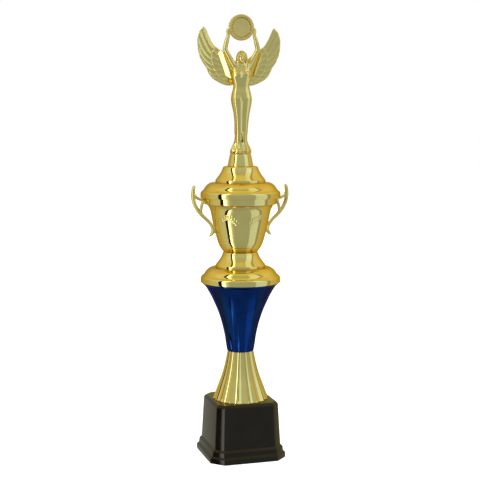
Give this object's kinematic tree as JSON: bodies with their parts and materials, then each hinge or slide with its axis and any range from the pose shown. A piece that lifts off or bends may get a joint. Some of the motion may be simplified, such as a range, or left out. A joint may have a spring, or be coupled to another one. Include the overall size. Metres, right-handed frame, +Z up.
{
  "type": "column trophy",
  "caption": "Tall column trophy: weighted square base, fluted column, flared cone, handled cup with a lift-off lid, and a winged figure raising a blank medallion.",
  "frame": {"origin": "centre of the underside of the square base, on the surface the trophy stands on", "axes": "+Z up along the tie rod, -Y towards the front (the figure faces -Y), +X towards the right handle as seen from the front"},
  "size_m": [0.1422, 0.1122, 0.618],
  "materials": {
    "metallised_gold": "moulded plastic, vacuum-metallised bright gold, mirror gloss",
    "metallised_blue": "moulded plastic, vacuum-metallised deep blue, mirror gloss",
    "gloss_black": "warm black moulded plastic, polished",
    "cover_plastic": "dull black sheet",
    "ballast_block": "cast cement, rough",
    "plated_steel": "zinc-plated, threaded",
    "insert_brass": "turned brass",
    "matte_gold_disc": "matte gold foil on a thin stamped disc, blank"
  },
  "bodies": {
    "cup_stand": {"base_shell": "gloss_black", "base_ballast": "ballast_block", "base_cover": "cover_plastic", "tie_rod": "plated_steel", "rod_lower_washer": "plated_steel", "rod_lower_nut": "plated_steel", "fluted_column": "metallised_gold", "flared_cone": "metallised_blue", "foot_flange": "metallised_gold", "foot_bell": "metallised_gold", "cup_bowl": "metallised_gold", "rod_upper_washer": "plated_steel", "rod_upper_nut": "plated_steel", "left_handle": "metallised_gold", "right_handle": "metallised_gold"},
    "lid": {"lid_flange": "metallised_gold", "lid_bell": "metallised_gold", "lid_stud": "plated_steel", "lid_washer": "plated_steel", "lid_nut": "plated_steel", "lid_top_nut": "plated_steel"},
    "figure": {"figure_pedestal": "metallised_gold", "figure_insert": "insert_brass", "figure_body": "metallised_gold", "left_wing": "metallised_gold", "right_wing": "metallised_gold", "medallion_holder": "metallised_gold", "medallion": "matte_gold_disc"}
  },
  "joints": [
    {"name": "lid_lift", "type": "slide", "parent": "cup_stand", "child": "lid", "axis": [0, 0, 1], "range_m": [0, 0.06]},
    {"name": "figure_turn", "type": "hinge", "parent": "lid", "child": "figure", "pos_m": [0, 0, 0.4104], "axis": [0, 0, 1], "continuous": true}
  ]
}
